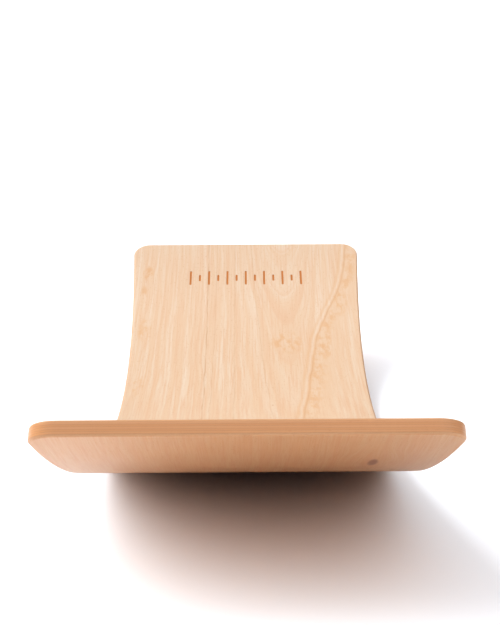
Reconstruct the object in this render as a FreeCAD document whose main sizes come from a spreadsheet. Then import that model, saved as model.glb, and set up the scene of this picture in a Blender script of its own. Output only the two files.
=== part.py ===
import FreeCAD, Part
import math
import os
import Sketcher

# Curved balance board: seven beech veneers glued into one shell that is bent up at
# both ends, trimmed to a slightly waisted outline and rounded along its edges.
# Origin at the middle of the contact line on the floor, +Z up, Y along the board,
# X across it. A plain engraved row of strokes lies near the +Y end.

VENEERS = [
    "face_veneer_underside",
    "cross_veneer_lower",
    "long_veneer_lower",
    "cross_veneer_middle",
    "long_veneer_upper",
    "cross_veneer_upper",
    "face_veneer_top",
]

# Driving dimensions: alias, value in millimetres or degrees, meaning.
SIZES = [
    ("ply", 1.6, "thickness of one veneer"),
    ("glue", 0.1, "thickness of one glue line"),
    ("ply_count", len(VENEERS), "number of veneers"),
    ("rocker_radius", 837.0, "radius of the top face, seen from the side"),
    ("half_sweep", 31.7, "angle from the middle to an end face"),
    ("end_width", 302.4, "width at the end faces, before the corners are rounded"),
    ("waist_width", 270.0, "width at the middle"),
    ("corner_radius", 21.0, "rounding of the four corners"),
    ("edge_round", 2.2, "rounding of the upper and lower edges"),
    ("trim_margin", 20.0, "surplus around the pressed sheets before trimming"),
    ("trim_sweep", 2.0, "surplus angle of the pressed sheets before trimming"),
    ("stroke_depth", 0.4, "depth of the engraved strokes"),
    ("stroke_width", 2.6, "width of an engraved stroke"),
    ("long_stroke", 27.0, "plan length of a long stroke"),
    ("short_stroke", 12.0, "plan length of a short stroke"),
    ("stroke_pitch", 24.0, "distance between two long strokes"),
    ("long_count", 7, "number of long strokes"),
    ("stroke_inset", 71.0, "plan distance from the end to the middle of the strokes"),
]
VALUE = {alias: value for alias, value, meaning in SIZES}

# Sizes that follow from the driving ones, as expressions.
THICKNESS = "(sizes.ply * sizes.ply_count + sizes.glue * (sizes.ply_count - 1))"
HALF_LENGTH = f"((sizes.rocker_radius + {THICKNESS}) * sin(sizes.half_sweep * 1 deg))"

START, END, CENTRE = 1, 2, 3
ORIGIN = (-1, 1)
HORIZONTAL_AXIS, VERTICAL_AXIS = -1, -2

doc = FreeCAD.newDocument("balance_board")
sheet = doc.addObject("Spreadsheet::Sheet", "sizes")
for row, (alias, value, meaning) in enumerate(SIZES, start=1):
    sheet.set(f"A{row}", meaning)
    sheet.set(f"B{row}", str(value))
    sheet.setAlias(f"B{row}", alias)
doc.recompute()


def number(expression):
    """The value of an expression of the sheet, as a plain number."""
    value = sheet.evalExpression(expression)
    return float(getattr(value, "Value", value))


def origin_plane(body, role):
    """The body's own origin plane with the given role."""
    for feature in body.Origin.OriginFeatures:
        if feature.Role == role:
            return feature
    raise ValueError(f"{body.Label} has no {role}")


def new_sketch(body, name, role):
    """A sketch on one of the body's origin planes."""
    sketch = body.newObject("Sketcher::SketchObject", name)
    sketch.AttachmentSupport = (origin_plane(body, role), [""])
    sketch.MapMode = "FlatFace"
    return sketch


def bind(sketch, kind, references, expression, value=None):
    """Add a dimension to the sketch and bind it to an expression."""
    if value is None:
        value = number(expression)
    index = sketch.addConstraint(Sketcher.Constraint(kind, *references, value))
    sketch.setExpression(f"Constraints[{index}]", expression)


def join(sketch, pairs):
    """Make each pair of sketch points coincide."""
    for first, second in pairs:
        sketch.addConstraint(Sketcher.Constraint("Coincident", *first, *second))


def put_on(sketch, pairs):
    """Put each sketch point on a line or axis."""
    for point, line in pairs:
        sketch.addConstraint(Sketcher.Constraint("PointOnObject", *point, line))


def below(centre, radius, angle):
    """The point at a radius from a centre, at an angle from straight down."""
    return centre + FreeCAD.Vector(radius * math.sin(angle), -radius * math.cos(angle), 0)


def add_bent_profile(body, upper_depth, lower_depth, sweep):
    """
    Half of a bent layer's section in the YZ plane, from the middle to the +Y end.
    The depths lie below the board's top face, and every layer is concentric.
    """
    upper = VALUE["rocker_radius"] + number(upper_depth)
    lower = VALUE["rocker_radius"] + number(lower_depth)
    angle = math.radians(number(sweep))
    centre = FreeCAD.Vector(0, number(THICKNESS) + VALUE["rocker_radius"], 0)

    def arc(radius):
        circle = Part.Circle(centre, FreeCAD.Vector(0, 0, 1), radius)
        return Part.ArcOfCircle(circle, -math.pi / 2, angle - math.pi / 2)

    sketch = new_sketch(body, "profile", "YZ_Plane")
    upper_arc = sketch.addGeometry(arc(upper))
    lower_arc = sketch.addGeometry(arc(lower))
    middle_line, end_line = [
        sketch.addGeometry(Part.LineSegment(below(centre, upper, turn), below(centre, lower, turn)))
        for turn in (0, angle)
    ]
    join(sketch, [
        ((lower_arc, CENTRE), (upper_arc, CENTRE)),
        ((middle_line, START), (upper_arc, START)),
        ((middle_line, END), (lower_arc, START)),
        ((end_line, START), (upper_arc, END)),
        ((end_line, END), (lower_arc, END)),
    ])
    put_on(sketch, [
        ((upper_arc, CENTRE), VERTICAL_AXIS),
        ((middle_line, START), VERTICAL_AXIS),
        ((middle_line, END), VERTICAL_AXIS),
        ((upper_arc, CENTRE), end_line),
    ])
    bind(sketch, "DistanceY", (*ORIGIN, upper_arc, CENTRE),
         f"{THICKNESS} + sizes.rocker_radius")
    bind(sketch, "Radius", (upper_arc,), f"sizes.rocker_radius + {upper_depth}")
    bind(sketch, "Radius", (lower_arc,), f"sizes.rocker_radius + {lower_depth}")
    bind(sketch, "Angle", (end_line,), f"({sweep}) * 1 deg - 90 deg", angle - math.pi / 2)
    return sketch


def add_pad(body, sketch, length, symmetric):
    """Pad a sketch, on one side or on both."""
    pad = body.newObject("PartDesign::Pad", "pad")
    pad.Profile = sketch
    pad.SideType = "Symmetric" if symmetric else "One side"
    pad.setExpression("Length", length)
    return pad


def mirror(body, feature, role):
    """Mirror a feature in one of the body's origin planes."""
    mirrored = body.newObject("PartDesign::Mirrored", f"mirrored_{feature.Name}")
    mirrored.Originals = [feature]
    mirrored.MirrorPlane = (origin_plane(body, role), [""])
    body.Tip = mirrored
    return mirrored


def bent_body(label, upper_depth, lower_depth, sweep="sizes.half_sweep + sizes.trim_sweep"):
    """A bent layer over the whole length and more than the whole width."""
    body = doc.addObject("PartDesign::Body", label)
    body.Label = label
    sketch = add_bent_profile(body, upper_depth, lower_depth, sweep)
    pad = add_pad(body, sketch, "sizes.end_width + 2 * sizes.trim_margin", True)
    mirror(body, pad, "XZ_Plane")
    return body


def cut_waist(body):
    """Cut both long sides to their shallow hollow curve."""
    half_length, margin = number(HALF_LENGTH), VALUE["trim_margin"]
    half_end, half_waist = VALUE["end_width"] / 2, VALUE["waist_width"] / 2
    reach_x, reach_y = half_end + 2 * margin, half_length + margin
    sagitta = half_end - half_waist
    radius = (half_length ** 2 + sagitta ** 2) / (2 * sagitta)
    centre = FreeCAD.Vector(half_waist + radius, 0, 0)
    sweep = math.asin(reach_y / radius)
    curve_x = centre.x - radius * math.cos(sweep)

    sketch = new_sketch(body, "side_outline", "XY_Plane")
    circle = Part.Circle(centre, FreeCAD.Vector(0, 0, 1), radius)
    side = sketch.addGeometry(Part.ArcOfCircle(circle, math.pi - sweep, math.pi + sweep))
    corners = [
        FreeCAD.Vector(curve_x, -reach_y, 0),
        FreeCAD.Vector(reach_x, -reach_y, 0),
        FreeCAD.Vector(reach_x, reach_y, 0),
        FreeCAD.Vector(curve_x, reach_y, 0),
    ]
    near, outer, far = [
        sketch.addGeometry(Part.LineSegment(first, second))
        for first, second in zip(corners, corners[1:])
    ]
    end_point = sketch.addGeometry(Part.Point(FreeCAD.Vector(half_end, half_length, 0)), True)
    waist_point = sketch.addGeometry(Part.Point(FreeCAD.Vector(half_waist, 0, 0)), True)
    join(sketch, [
        ((side, END), (near, START)),
        ((near, END), (outer, START)),
        ((outer, END), (far, START)),
        ((far, END), (side, START)),
    ])
    put_on(sketch, [
        ((side, CENTRE), HORIZONTAL_AXIS),
        ((waist_point, START), HORIZONTAL_AXIS),
        ((waist_point, START), side),
        ((end_point, START), side),
    ])
    sketch.addConstraint(Sketcher.Constraint("Horizontal", near))
    sketch.addConstraint(Sketcher.Constraint("Horizontal", far))
    sketch.addConstraint(Sketcher.Constraint("Vertical", outer))
    bind(sketch, "DistanceX", (*ORIGIN, waist_point, START), "sizes.waist_width / 2")
    bind(sketch, "DistanceX", (*ORIGIN, end_point, START), "sizes.end_width / 2")
    bind(sketch, "DistanceY", (*ORIGIN, end_point, START), HALF_LENGTH)
    bind(sketch, "DistanceX", (*ORIGIN, outer, START),
         "sizes.end_width / 2 + 2 * sizes.trim_margin")
    bind(sketch, "DistanceY", (*ORIGIN, outer, END), f"{HALF_LENGTH} + sizes.trim_margin")
    bind(sketch, "DistanceY", (outer, START, *ORIGIN), f"{HALF_LENGTH} + sizes.trim_margin")

    pocket = body.newObject("PartDesign::Pocket", "side_trim")
    pocket.Profile = sketch
    pocket.SideType = "Symmetric"
    pocket.Type = "ThroughAll"
    mirror(body, pocket, "YZ_Plane")


def add_fillet(body, base, name, radius, belongs):
    """Round the edges of the base feature that pass a test."""
    edges = [
        f"Edge{index}" for index, edge in enumerate(base.Shape.Edges, start=1)
        if belongs(edge)
    ]
    fillet = body.newObject("PartDesign::Fillet", name)
    fillet.Base = (base, edges)
    fillet.setExpression("Radius", radius)
    body.Tip = fillet
    return fillet


def is_corner(edge):
    """One of the four short edges where an end face meets a long side."""
    middle = edge.CenterOfMass
    short = edge.Length < 2 * number(THICKNESS)
    near_end = abs(middle.y) > number(HALF_LENGTH) - VALUE["corner_radius"]
    return short and near_end and abs(middle.x) > VALUE["waist_width"] / 2


def is_rim(edge):
    """An edge of the upper or lower outline, not one across the thickness or a seam."""
    across_width = abs(edge.BoundBox.XLength) > VALUE["waist_width"] / 2
    at_end = abs(edge.CenterOfMass.y) > number(HALF_LENGTH) - VALUE["corner_radius"]
    through_thickness = edge.Length < 1.05 * number(THICKNESS)
    return not through_thickness and (at_end or not across_width)


def trimmed_board():
    """The whole board as trimmed and rounded, before it is told apart into layers."""
    board = bent_body("trimmed_board", "0", THICKNESS, "sizes.half_sweep")
    doc.recompute()
    cut_waist(board)
    doc.recompute()
    corners = add_fillet(board, board.Tip, "corner_rounding", "sizes.corner_radius", is_corner)
    doc.recompute()
    add_fillet(board, corners, "edge_rounding", "sizes.edge_round", is_rim)
    doc.recompute()
    return board


def common(label, base, tool):
    """The part of a base that lies within a tool."""
    result = doc.addObject("Part::Common", label)
    result.Label = label
    result.Base = base
    result.Tool = tool
    return result


def layer(label, board, upper_depth, lower_depth):
    """One layer of the laminate: the trimmed board within a bent sheet."""
    sheet_body = bent_body(f"{label}_sheet", upper_depth, lower_depth)
    return common(label, board, sheet_body)


def stroke_row(body, name, length, count, pitch):
    """A row of upright round-ended strokes, centred on the board's middle line."""
    half_width = VALUE["stroke_width"] / 2
    reach = number(length) / 2 - half_width
    middle_y = number(f"{HALF_LENGTH} - sizes.stroke_inset")
    first_x = number(f"(({count}) - 1) / 2 * {pitch}")
    z_axis = FreeCAD.Vector(0, 0, 1)

    def at(x, y):
        return FreeCAD.Vector(x - first_x, y + middle_y, 0)

    sketch = new_sketch(body, f"{name}_outline", "XY_Plane")
    far = sketch.addGeometry(
        Part.ArcOfCircle(Part.Circle(at(0, reach), z_axis, half_width), 0, math.pi))
    near = sketch.addGeometry(
        Part.ArcOfCircle(Part.Circle(at(0, -reach), z_axis, half_width), math.pi, 2 * math.pi))
    left = sketch.addGeometry(
        Part.LineSegment(at(-half_width, reach), at(-half_width, -reach)))
    right = sketch.addGeometry(
        Part.LineSegment(at(half_width, -reach), at(half_width, reach)))
    for first, second in [
        ((far, END), (left, START)),
        ((left, END), (near, START)),
        ((near, END), (right, START)),
        ((right, END), (far, START)),
    ]:
        sketch.addConstraint(Sketcher.Constraint("Tangent", *first, *second))
    sketch.addConstraint(Sketcher.Constraint("Vertical", left))
    sketch.addConstraint(Sketcher.Constraint("Equal", far, near))
    bind(sketch, "Radius", (far,), "sizes.stroke_width / 2")
    bind(sketch, "DistanceX", (far, CENTRE, *ORIGIN), f"(({count}) - 1) / 2 * {pitch}")
    bind(sketch, "DistanceY", (*ORIGIN, far, CENTRE),
         f"{HALF_LENGTH} - sizes.stroke_inset + ({length} - sizes.stroke_width) / 2")
    bind(sketch, "DistanceY", (near, CENTRE, far, CENTRE), f"{length} - sizes.stroke_width")

    pad = add_pad(body, sketch, "sizes.rocker_radius", False)
    row = body.newObject("PartDesign::LinearPattern", name)
    row.Originals = [pad]
    row.Direction = (sketch, ["H_Axis"])
    row.Mode = "Spacing"
    row.setExpression("Offset", pitch)
    row.setExpression("Occurrences", count)
    body.Tip = row
    doc.recompute()


def engraving():
    """The engraved strokes: long and short ones in turn, of one depth everywhere."""
    strokes = doc.addObject("PartDesign::Body", "strokes")
    strokes.Label = "strokes"
    stroke_row(strokes, "long_strokes", "sizes.long_stroke", "sizes.long_count",
               "sizes.stroke_pitch")
    stroke_row(strokes, "short_strokes", "sizes.short_stroke", "sizes.long_count - 1",
               "sizes.stroke_pitch")
    skin = bent_body("engraved_skin", "-sizes.ply", "sizes.stroke_depth")
    return common("engraving", strokes, skin)


def laminate():
    """Each layer's label and the depths of its two faces, from the top down."""
    last = len(VENEERS) - 1
    for index, label in enumerate(reversed(VENEERS)):
        upper = f"{index} * (sizes.ply + sizes.glue)"
        lower = f"{upper} + sizes.ply"
        if index > 0:
            yield f"glue_line_{last - index + 1}", f"{upper} - sizes.glue", upper
        # The outer sheets are pressed oversize, so the board's own faces bound them.
        if index == 0:
            upper = "-sizes.ply"
        if index == last:
            lower = f"{lower} + sizes.ply"
        yield label, upper, lower


def build():
    """Every layer of the board, as the objects to write."""
    board = trimmed_board()
    parts = []
    for label, upper, lower in laminate():
        if label == VENEERS[-1]:
            part = doc.addObject("Part::Cut", label)
            part.Label = label
            part.Base = layer(f"{label}_plain", board, upper, lower)
            part.Tool = engraving()
        else:
            part = layer(label, board, upper, lower)
        parts.append(part)
    doc.recompute()
    return parts


def check(parts):
    """Stop if any object failed or any sub-part has no sound single solid."""
    for item in doc.Objects:
        if "Invalid" in item.State or "Error" in item.State:
            raise RuntimeError(f"{item.Label} failed: {item.State}")
    for item in parts:
        shape = item.Shape
        if shape.isNull() or not shape.isValid() or len(shape.Solids) != 1:
            raise RuntimeError(f"{item.Label} has no sound single solid")


def write(parts):
    """Write each sub-part to its own file."""
    os.makedirs("parts", exist_ok=True)
    for item in parts:
        item.Shape.exportStep(f"parts/{item.Label}.step")
        print(f"{item.Label}: {item.Shape.Volume / 1000:.1f} cm3")


board_parts = build()
check(board_parts)
write(board_parts)
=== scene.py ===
import math
from collections import namedtuple

import bpy
from mathutils import Matrix, Vector

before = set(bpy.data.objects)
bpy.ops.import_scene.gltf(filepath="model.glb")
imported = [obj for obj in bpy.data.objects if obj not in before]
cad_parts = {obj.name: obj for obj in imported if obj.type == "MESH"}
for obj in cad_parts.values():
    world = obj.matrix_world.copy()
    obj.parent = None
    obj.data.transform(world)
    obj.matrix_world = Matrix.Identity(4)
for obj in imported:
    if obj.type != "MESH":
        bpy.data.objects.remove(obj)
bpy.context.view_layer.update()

scene = bpy.context.scene

# ---- The board's own measures, in metres as in the frame ----
MM = 0.001
ROCKER_RADIUS = 837 * MM  # the top face, seen from the side
THICKNESS = 11.8 * MM
ARC_CENTRE_HEIGHT = THICKNESS + ROCKER_RADIUS

# ---- Places on the flattened board, in millimetres: across it and along it from the middle ----
STROKES_ALONG = 387
STROKES_HALF_LENGTH = 24
STROKES_HALF_WIDTH = 80

# Single dark lines: where each crosses the middle of the board, how far it leans, how dark.
FineLine = namedtuple("FineLine", "across lean dark")
FINE_LINES = (
    FineLine(-47, -0.005, 0.75),
    FineLine(-40, 0.005, 0.3),
    FineLine(-14, 0.0, 0.35),
    FineLine(28, -0.045, 0.3),
)

Spot = namedtuple("Spot", "across along half_width half_length strength")
TOP_SMEARS = (
    Spot(-128, 397, 8, 20, 1.0),
    Spot(-131, 352, 5, 22, 0.8),
    Spot(-125, 268, 9, 30, 0.8),
    Spot(-122, 120, 7, 34, 0.7),
    Spot(118, 338, 12, 40, 0.9),
    Spot(50, 234, 22, 30, 0.9),
    Spot(96, 236, 10, 46, 0.8),
)
PIN_HOLE = Spot(28, 55, 1.2, 2.2, 0.8)
KNOT = Spot(93, -365, 4.0, 19, 1.0)
KNOT_PULL = Spot(KNOT.across, KNOT.along, 26, 60, 0.55)  # the grain closes in on the knot

# Arches of the two face veneers: their centre line, how large the heart of the tree is, how
# fast they open along the board, how much faster beyond CURL_START, and how wide they reach.
TOP_FIGURE = {"centre": 50, "heart": 80.0, "lean": 5.0, "curl": 0.03, "reach": 62.0}
UNDER_FIGURE = {"centre": -40.0, "heart": 80.0, "lean": -4.0, "curl": 0.02, "reach": 70.0}
CURL_START = 200.0

# The double line beside the arches of the top face: how far it lies from their centre line
# at the middle of the board, how it leans, and its bend outwards between two places.
DOUBLE_LINE_START = 8.0
DOUBLE_LINE_LEAN = 0.11
DOUBLE_LINE_BEND = 26.0
DOUBLE_LINE_BEND_FROM = 230.0
DOUBLE_LINE_BEND_TO = 410.0
DOUBLE_LINE_GAP = 7.0
DOUBLE_LINE_WIDTH = 1.8
SMEAR_OFFSET = 7.0  # smears along the outside of the double line
SMEAR_WIDTH = 9.0
SMEAR_FADE = (-120.0, 40.0)  # the places along the board between which they set in

# ---- Structure of the wood: width and length of one feature, in millimetres ----
FIBRE = (0.9, 34.0)
STRAND = (2.2, 90.0)
CLOUD = (70.0, 210.0)
PORE = (2.2, 6.5)
END_PORE = (0.55, 0.55)
STREAK = (7.0, 500.0)
BLOTCH = (9.0, 22.0)
RING_SPACING = 5.0
DARK_LINE_WIDTH = 0.7
LINE_BREAK_LENGTH = 45.0

# How far rings and lines wander, in millimetres, and how often: for each millimetre
# across and along the board, or the length of one swing.
RING_DRIFT = 26.0
RING_DRIFT_RATE = (0.02, 0.004)
ARCH_DRIFT = 14.0
ARCH_DRIFT_RATE = (0.012, 0.006)
LINE_SWAY = 5.0
LINE_SWAY_LENGTH = 60.0
GLUE_BLOTCH_RATE = (0.3, 0.3)

# ---- Colours of lacquered beech, linear ----
TOP_TONE = (0.57, 0.434, 0.308)
# The underside is darker and more orange than the top: painted shade and painted warm bounce light
# from the shadowed floor beneath it.
UNDERSIDE_TONE_PAINTED_SHADE = (0.525, 0.287, 0.136)
CORE_TONE = (0.582, 0.384, 0.232)
PALE = (1.03, 1.05, 1.08)  # down to the smear, these are shares of the tone
RICH = (0.98, 0.885, 0.80)
LATE_WOOD = (0.95, 0.78, 0.67)
FLECK = (0.76, 0.54, 0.38)
KNOT_WOOD = (0.42, 0.22, 0.14)
END_GRAIN = (0.86, 0.72, 0.59)
# Rims: darker and more orange at the rounded edges and the end and side faces.
RIM_COLOUR = (0.82, 0.52, 0.29)
SMEAR = (0.93, 0.70, 0.49)
SCORCH = (0.43, 0.135, 0.004, 1)
GLUE_PALE = (0.36, 0.19, 0.09, 1)
GLUE_DARK = (0.24, 0.115, 0.05, 1)
WHITE = (1, 1, 1, 1)
FLOOR_COLOUR = (0.9, 0.9, 0.9, 1)

# How strongly the rims turn darker and more orange: on the underside, and on the veneers above it.
RIM_SHARE_BELOW = 0.1
RIM_SHARE_ABOVE = 0.7

# ---- Surface ----
FLOOR_ROUGHNESS = 0.6
WOOD_RELIEF = 0.05  # millimetres
GLUE_RELIEF = 0.02
BUMP_STRENGTH = 0.6
LACQUER = {
    "Specular IOR Level": 0.5,
    "Coat Weight": 0.4,
    "Coat Roughness": 0.3,
    "Coat IOR": 1.48,
}

# ---- Light ----
ROOM_LIGHT = (0.05, 0.078, 0.135, 1)
LOOK = "Medium High Contrast"
# Where each lamp shines from, in degrees: around the board, 0 being towards the camera and 90
# to its right, and above the floor. The window's glare is left out of the gloss, as a
# polariser does.
LAMPS = {
    "back_left_window": {"around": 245, "above": 30, "width": 62, "strength": 4.85,
                         "colour": (0.90, 0.95, 1.0), "in_gloss": False},
    "overhead_softbox": {"around": 0, "above": 76, "width": 110, "strength": 2.2,
                         "colour": (1.0, 0.99, 0.98), "in_gloss": True},
    "right_fill": {"around": 75, "above": 38, "width": 80, "strength": 0.65,
                   "colour": (1.0, 0.94, 0.88), "in_gloss": True},
}

# ---- Camera: the viewing angle of the photograph ----
PICTURE_WIDTH = 500
FOCAL_PIXELS = 1264.0
SENSOR_WIDTH = 36.0
CAMERA_PLACE = Vector((-0.0007, -1.259, 0.3643))
CAMERA_PITCH = math.radians(10.743)
CAMERA_YAW = math.radians(-0.21)
CAMERA_ROLL = math.radians(-0.317)

FLOOR_REACH = 30.0


class Graph:
    """Builds a node tree out of sockets and plain numbers."""

    def __init__(self, tree):
        self.tree = tree

    def shader(self):
        return self.tree.nodes["Principled BSDF"]

    def add(self, kind, **settings):
        node = self.tree.nodes.new(kind)
        for name, value in settings.items():
            setattr(node, name, value)
        return node

    def feed(self, socket, value):
        """Link a socket to another one, or set it to a number or colour."""
        if isinstance(value, bpy.types.NodeSocket):
            self.tree.links.new(value, socket)
        else:
            socket.default_value = value

    def math(self, operation, *values):
        node = self.add("ShaderNodeMath", operation=operation)
        for socket, value in zip(node.inputs, values):
            self.feed(socket, value)
        return node.outputs[0]

    def plus(self, first, second):
        return self.math("ADD", first, second)

    def minus(self, first, second):
        return self.math("SUBTRACT", first, second)

    def times(self, first, second):
        return self.math("MULTIPLY", first, second)

    def over(self, first, second):
        return self.math("DIVIDE", first, second)

    def scaled(self, value, factor, offset):
        """The value times the factor, plus the offset."""
        return self.math("MULTIPLY_ADD", value, factor, offset)

    def larger(self, first, second):
        return self.math("MAXIMUM", first, second)

    def size(self, value):
        return self.math("ABSOLUTE", value)

    def square(self, value):
        return self.times(value, value)

    def bell(self, distance, width):
        """One where the distance is nothing, falling to nothing beyond the width."""
        return self.math("EXPONENT", self.times(self.square(self.over(distance, width)), -1.0))

    def spread(self, value, low, high, to_low=0.0, to_high=1.0):
        """A smooth step of a value from one range to another."""
        node = self.add("ShaderNodeMapRange", interpolation_type="SMOOTHSTEP")
        settings = {
            "Value": value,
            "From Min": low,
            "From Max": high,
            "To Min": to_low,
            "To Max": to_high,
        }
        for name, number in settings.items():
            self.feed(node.inputs[name], number)
        return node.outputs["Result"]

    def vector(self, x, y, z):
        node = self.add("ShaderNodeCombineXYZ")
        for socket, value in zip(node.inputs, (x, y, z)):
            self.feed(socket, value)
        return node.outputs[0]

    def noise(self, vector, detail=2.0, roughness=0.5):
        """Soft noise around 0.5, one feature wide for each unit of the vector."""
        node = self.add("ShaderNodeTexNoise")
        self.feed(node.inputs["Vector"], vector)
        node.inputs["Scale"].default_value = 1.0
        node.inputs["Detail"].default_value = detail
        node.inputs["Roughness"].default_value = roughness
        return node.outputs["Fac"]

    def cells(self, vector):
        """Distance to the nearest of many scattered points, about one for each unit."""
        node = self.add("ShaderNodeTexVoronoi")
        self.feed(node.inputs["Vector"], vector)
        node.inputs["Scale"].default_value = 1.0
        return node.outputs["Distance"]

    def mix(self, factor, first, second):
        node = self.add("ShaderNodeMix", data_type="RGBA")
        self.feed(node.inputs["Factor"], factor)
        colours = [socket for socket in node.inputs if socket.type == "RGBA"]
        self.feed(colours[0], first)
        self.feed(colours[1], second)
        return [socket for socket in node.outputs if socket.type == "RGBA"][0]


def board_coordinates(graph):
    """
    Where a point lies in the flat board, in millimetres: across it, along it and
    below its top face. Also how far its surface faces along and across the board.
    """
    place = graph.add("ShaderNodeTexCoord")
    split = graph.add("ShaderNodeSeparateXYZ")
    graph.feed(split.inputs[0], place.outputs["Object"])
    facing = graph.add("ShaderNodeSeparateXYZ")
    graph.feed(facing.inputs[0], place.outputs["Normal"])
    x, y, z = split.outputs
    drop = graph.minus(ARC_CENTRE_HEIGHT, z)
    turn = graph.math("ARCTAN2", y, drop)
    radius = graph.math("SQRT", graph.plus(graph.square(y), graph.square(drop)))
    to_end = graph.plus(graph.times(facing.outputs["Y"], graph.math("COSINE", turn)),
                        graph.times(facing.outputs["Z"], graph.math("SINE", turn)))
    return {
        "across": graph.over(x, MM),
        "along": graph.times(turn, ROCKER_RADIUS / MM),
        "depth": graph.over(graph.minus(radius, ROCKER_RADIUS), MM),
        "to_end": graph.size(to_end),
        "to_side": graph.size(facing.outputs["X"]),
    }


def wander(graph, across, along, rate, seed):
    """Large soft noise, by which lines stray from their course."""
    across_rate, along_rate = rate
    return graph.noise(graph.vector(graph.times(across, across_rate),
                                    graph.scaled(along, along_rate, seed), seed))


def plain_rings(graph, across, along, depth, seed):
    """Growth rings of a veneer cut flat, far from the heart: nearly straight."""
    drift = wander(graph, across, along, RING_DRIFT_RATE, seed)
    return graph.plus(graph.scaled(drift, RING_DRIFT, across), depth)


def arched_rings(graph, across, along, seed, centre, heart, lean, curl, reach):
    """
    Growth rings of a veneer cut flat near the heart: arches around a centre line,
    and nearly straight lines away from it.
    """
    drift = wander(graph, across, along, ARCH_DRIFT_RATE, seed)
    side = graph.minus(graph.scaled(drift, ARCH_DRIFT, across), centre + ARCH_DRIFT / 2)
    side_square = graph.square(side)
    rise = graph.larger(graph.minus(along, CURL_START), 0.0)
    opening = graph.plus(graph.times(along, lean), graph.times(graph.square(rise), curl))
    fade = graph.math("EXPONENT", graph.over(side_square, -reach * reach))
    inside = graph.minus(heart * heart, graph.times(opening, fade))
    return graph.math("SQRT", graph.plus(side_square, graph.larger(inside, 1.0)))


def ring_tone(graph, rings, seed):
    """Darkness of the growth rings: each rises slowly and ends in a thin late-wood line."""
    uneven = graph.noise(graph.vector(graph.over(rings, RING_SPACING * 2.3), seed, 0.0))
    count = graph.plus(graph.over(rings, RING_SPACING), graph.times(uneven, 2.2))
    part = graph.math("FRACT", count)
    rising = graph.math("POWER", part, 2.5)
    falling = graph.spread(part, 0.88, 1.0, 1.0, 0.0)
    strength = graph.noise(graph.vector(graph.over(rings, RING_SPACING * 3.1), seed, 5.0))
    strength = graph.spread(strength, 0.36, 0.68, 0.12, 1.0)
    return graph.times(graph.times(rising, falling), strength)


def spot_mask(graph, across, along, spot):
    """A soft oval mark on the wood, of full strength in its middle."""
    side = graph.over(graph.minus(across, spot.across), spot.half_width)
    way = graph.over(graph.minus(along, spot.along), spot.half_length)
    size = graph.plus(graph.square(side), graph.square(way))
    return graph.spread(size, 0.1, 1.3, spot.strength, 0.0)


def share(tone, part):
    return tuple(first * second for first, second in zip(tone, part)) + (1.0,)


def lay(graph, colour, tone, layers):
    """Lay shares of the tone over a colour, each where its mask is."""
    for mask, part in layers:
        colour = graph.mix(mask, colour, share(tone, part))
    return colour


def new_material(name):
    material = bpy.data.materials.new(name)
    material.use_nodes = True
    return material, Graph(material.node_tree)


def lacquer(graph, colour, height, relief, rough):
    shader = graph.shader()
    graph.feed(shader.inputs["Base Color"], colour)
    graph.feed(shader.inputs["Roughness"], rough)
    bump = graph.add("ShaderNodeBump")
    bump.inputs["Strength"].default_value = BUMP_STRENGTH
    bump.inputs["Distance"].default_value = relief * MM
    graph.feed(bump.inputs["Height"], height)
    graph.feed(shader.inputs["Normal"], bump.outputs["Normal"])
    for name, value in LACQUER.items():
        shader.inputs[name].default_value = value


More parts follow.
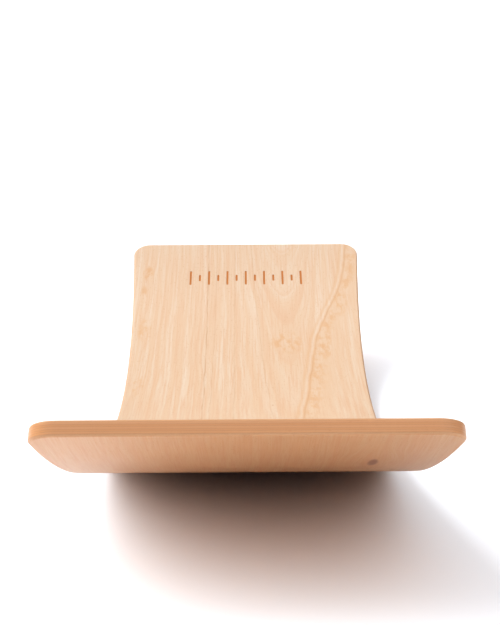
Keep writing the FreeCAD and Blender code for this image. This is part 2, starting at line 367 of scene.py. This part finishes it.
def beech(name, grain, tone, seed, figure=None, marks=None, knot=None, rim_share=RIM_SHARE_ABOVE):
    """Sliced beech, with a figure of arches or plain. Marks adds what only the top face has."""
    material, graph = new_material(name)
    where = board_coordinates(graph)
    depth = where["depth"]
    if grain == "long":
        across, along, to_end_grain = where["across"], where["along"], where["to_end"]
    else:
        across, along, to_end_grain = where["along"], where["across"], where["to_side"]
    if knot:
        knot_mask = spot_mask(graph, across, along, knot)
        pull = spot_mask(graph, across, along, KNOT_PULL)
        across = graph.minus(across, graph.times(graph.minus(across, knot.across), pull))

    def at(size, offset):
        width, length = size
        return graph.vector(graph.scaled(across, 1 / width, offset),
                            graph.scaled(along, 1 / length, offset),
                            graph.times(depth, 1 / width))

    fibre = graph.noise(at(FIBRE, seed), detail=3.0, roughness=0.6)
    strand = graph.noise(at(STRAND, seed + 9), detail=3.0, roughness=0.6)
    cloud = graph.noise(at(CLOUD, seed + 6))
    pore_mask = graph.spread(graph.cells(at(PORE, seed + 11)), 0.10, 0.24, 0.5, 0.0)
    if figure:
        rings = arched_rings(graph, across, along, seed, **figure)
    else:
        rings = plain_rings(graph, across, along, depth, seed)
    streak_width, streak_length = STREAK
    streak = graph.noise(graph.vector(graph.over(rings, streak_width),
                                      graph.over(along, streak_length), seed + 3),
                         detail=4.0, roughness=0.62)
    colour = lay(graph, tone + (1.0,), tone, [
        (graph.spread(cloud, 0.34, 0.66, 0.0, 0.5), RICH),
        (graph.spread(streak, 0.42, 0.60, 0.0, 0.9), RICH),
        (graph.spread(streak, 0.46, 0.34, 0.0, 0.75), PALE),
        (ring_tone(graph, rings, seed), LATE_WOOD),
        (graph.spread(strand, 0.46, 0.66, 0.0, 0.75), LATE_WOOD),
        (graph.spread(fibre, 0.46, 0.72, 0.0, 0.4), LATE_WOOD),
        (pore_mask, FLECK),
    ])
    if marks:
        colour = marks(graph, where, colour, tone, seed)
    if knot:
        colour = lay(graph, colour, tone, [(knot_mask, KNOT_WOOD)])

    end_pores = graph.spread(graph.noise(at(END_PORE, seed + 17)), 0.4, 0.8, 0.0, 0.7)
    end_colour = graph.mix(end_pores, share(CORE_TONE, END_GRAIN), share(CORE_TONE, FLECK))
    colour = graph.mix(graph.spread(to_end_grain, 0.35, 0.9), colour, end_colour)
    # Darker, more orange colour where the surface faces the ends or sides: the rims.
    rim = graph.larger(where["to_end"], where["to_side"])
    colour = lay(graph, colour, tone, [(graph.spread(rim, 0.15, 0.75, 0.0, rim_share), RIM_COLOUR)])
    if marks:
        colour = graph.mix(scorched(graph, where), colour, SCORCH)
    height = graph.minus(fibre, graph.times(pore_mask, 0.5))
    lacquer(graph, colour, height, WOOD_RELIEF, graph.spread(fibre, 0.3, 0.7, 0.48, 0.58))
    return material


def top_marks(graph, where, colour, tone, seed):
    """Redder wood beside the arches, smears, the double line and single dark lines."""
    across, along = where["across"], where["along"]
    sway = graph.noise(graph.vector(seed, graph.over(along, LINE_SWAY_LENGTH), 2.0))
    swayed = graph.scaled(sway, LINE_SWAY, graph.minus(across, LINE_SWAY / 2))
    bend = graph.spread(along, DOUBLE_LINE_BEND_FROM, DOUBLE_LINE_BEND_TO, 0.0, DOUBLE_LINE_BEND)
    opening = graph.plus(graph.scaled(along, DOUBLE_LINE_LEAN, DOUBLE_LINE_START), bend)
    beside = graph.minus(graph.minus(swayed, TOP_FIGURE["centre"]), opening)

    fade = graph.spread(along, *SMEAR_FADE)
    redder = graph.times(graph.spread(beside, -3.0, 5.0), graph.spread(beside, 6.0, 50.0, 1.0, 0.0))
    redder = graph.times(graph.times(redder, fade), 0.6)

    blotch_width, blotch_length = BLOTCH
    blotch = graph.noise(graph.vector(graph.over(across, blotch_width),
                                      graph.over(along, blotch_length), seed),
                         detail=4.0, roughness=0.65)
    smear = graph.bell(graph.minus(beside, SMEAR_OFFSET), SMEAR_WIDTH)
    smear = graph.times(graph.times(smear, fade), 0.8)
    for spot in TOP_SMEARS:
        smear = graph.larger(smear, spot_mask(graph, across, along, spot))
    smear = graph.times(smear, graph.spread(blotch, 0.42, 0.62))

    outer = graph.bell(beside, DOUBLE_LINE_WIDTH)
    inner = graph.bell(graph.plus(beside, DOUBLE_LINE_GAP), DOUBLE_LINE_WIDTH)
    pair = graph.times(graph.larger(outer, graph.times(inner, 0.7)), 0.5)
    between = graph.bell(graph.plus(beside, DOUBLE_LINE_GAP / 2), DOUBLE_LINE_WIDTH)
    between = graph.times(between, 0.4)

    dark_lines = spot_mask(graph, across, along, PIN_HOLE)
    courses = [(beside, 0.4)]
    for line in FINE_LINES:
        away = graph.minus(graph.scaled(along, -line.lean, swayed), line.across)
        courses.append((away, line.dark))
    for index, (away, dark) in enumerate(courses):
        broken = graph.noise(graph.vector(7.0 * index, graph.over(along, LINE_BREAK_LENGTH), 8.0))
        broken = graph.spread(broken, 0.35, 0.6, 0.3 * dark, dark)
        course = graph.times(graph.bell(away, DARK_LINE_WIDTH), broken)
        dark_lines = graph.larger(dark_lines, course)
    return lay(graph, colour, tone, [
        (redder, RICH),
        (smear, SMEAR),
        (between, PALE),
        (pair, SMEAR),
        (dark_lines, FLECK),
    ])


def scorched(graph, where):
    """The walls and floor of the engraved strokes: below the face, inside their row."""
    in_width = graph.math("LESS_THAN", graph.size(where["across"]), STROKES_HALF_WIDTH)
    off_row = graph.size(graph.minus(where["along"], STROKES_ALONG))
    in_row = graph.times(in_width, graph.math("LESS_THAN", off_row, STROKES_HALF_LENGTH))
    return graph.times(in_row, graph.spread(where["depth"], 0.02, 0.2))


def glue():
    material, graph = new_material("glue")
    where = board_coordinates(graph)
    blotch = wander(graph, where["across"], where["along"], GLUE_BLOTCH_RATE, 0.0)
    colour = graph.mix(graph.spread(blotch, 0.3, 0.7), GLUE_PALE, GLUE_DARK)
    lacquer(graph, colour, blotch, GLUE_RELIEF, graph.spread(blotch, 0.3, 0.7, 0.4, 0.5))
    return material


def dress_nodes():
    glue_material = glue()
    for index, (name, node) in enumerate(sorted(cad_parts.items())):
        if name == "face_veneer_top":
            material = beech("beech_top", "long", TOP_TONE, 2.0, TOP_FIGURE, top_marks)
        elif name == "face_veneer_underside":
            # The underside's tone holds painted shade: darker and more orange than the top.
            material = beech("beech_underside", "long", UNDERSIDE_TONE_PAINTED_SHADE, 31.0, UNDER_FIGURE,
                             knot=KNOT, rim_share=RIM_SHARE_BELOW)
        elif name.startswith("glue"):
            material = glue_material
        else:
            grain = "cross" if name.startswith("cross") else "long"
            material = beech("beech_" + name, grain, CORE_TONE, 40.0 + 13 * index)
        node.data.materials.clear()
        node.data.materials.append(material)


def add_camera():
    data = bpy.data.cameras.new("camera")
    data.sensor_fit = "HORIZONTAL"
    data.sensor_width = SENSOR_WIDTH
    data.lens = FOCAL_PIXELS / PICTURE_WIDTH * SENSOR_WIDTH
    camera = bpy.data.objects.new("camera", data)
    scene.collection.objects.link(camera)
    turn = Matrix.Rotation(CAMERA_YAW, 3, "Z")
    turn = turn @ Matrix.Rotation(math.pi / 2 - CAMERA_PITCH, 3, "X")
    turn = turn @ Matrix.Rotation(CAMERA_ROLL, 3, "Z")
    camera.matrix_world = Matrix.Translation(CAMERA_PLACE) @ turn.to_4x4()
    scene.camera = camera


def add_floor():
    mesh = bpy.data.meshes.new("floor")
    signs = [(-1, -1), (1, -1), (1, 1), (-1, 1)]
    corners = [(x * FLOOR_REACH, y * FLOOR_REACH, 0) for x, y in signs]
    mesh.from_pydata(corners, [], [(0, 1, 2, 3)])
    floor = bpy.data.objects.new("floor", mesh)
    scene.collection.objects.link(floor)
    material, graph = new_material("floor")
    graph.feed(graph.shader().inputs["Base Color"], FLOOR_COLOUR)
    graph.feed(graph.shader().inputs["Roughness"], FLOOR_ROUGHNESS)
    mesh.materials.append(material)


def add_lamp(name, around, above, width, strength, colour, in_gloss):
    """A soft light, as wide as an angle says, that falls evenly on the whole floor."""
    around, above = math.radians(around), math.radians(above)
    outward = Vector((math.sin(around) * math.cos(above),
                      -math.cos(around) * math.cos(above),
                      math.sin(above)))
    data = bpy.data.lights.new(name, "SUN")
    data.angle = math.radians(width)
    data.energy = strength
    data.color = colour
    lamp = bpy.data.objects.new(name, data)
    scene.collection.objects.link(lamp)
    lamp.rotation_euler = (-outward).to_track_quat("-Z", "Y").to_euler()
    lamp.visible_glossy = in_gloss


def add_lights():
    """The lamps, in a room that looks white and adds only a little light of its own."""
    world = bpy.data.worlds.new("world")
    scene.world = world
    world.use_nodes = True
    graph = Graph(world.node_tree)
    background = world.node_tree.nodes["Background"]
    seen = graph.add("ShaderNodeLightPath").outputs["Is Camera Ray"]
    graph.feed(background.inputs["Color"], graph.mix(seen, ROOM_LIGHT, WHITE))
    for name, settings in LAMPS.items():
        add_lamp(name, **settings)


dress_nodes()
add_camera()
add_floor()
add_lights()
scene.view_settings.view_transform = "Standard"
scene.view_settings.look = LOOK
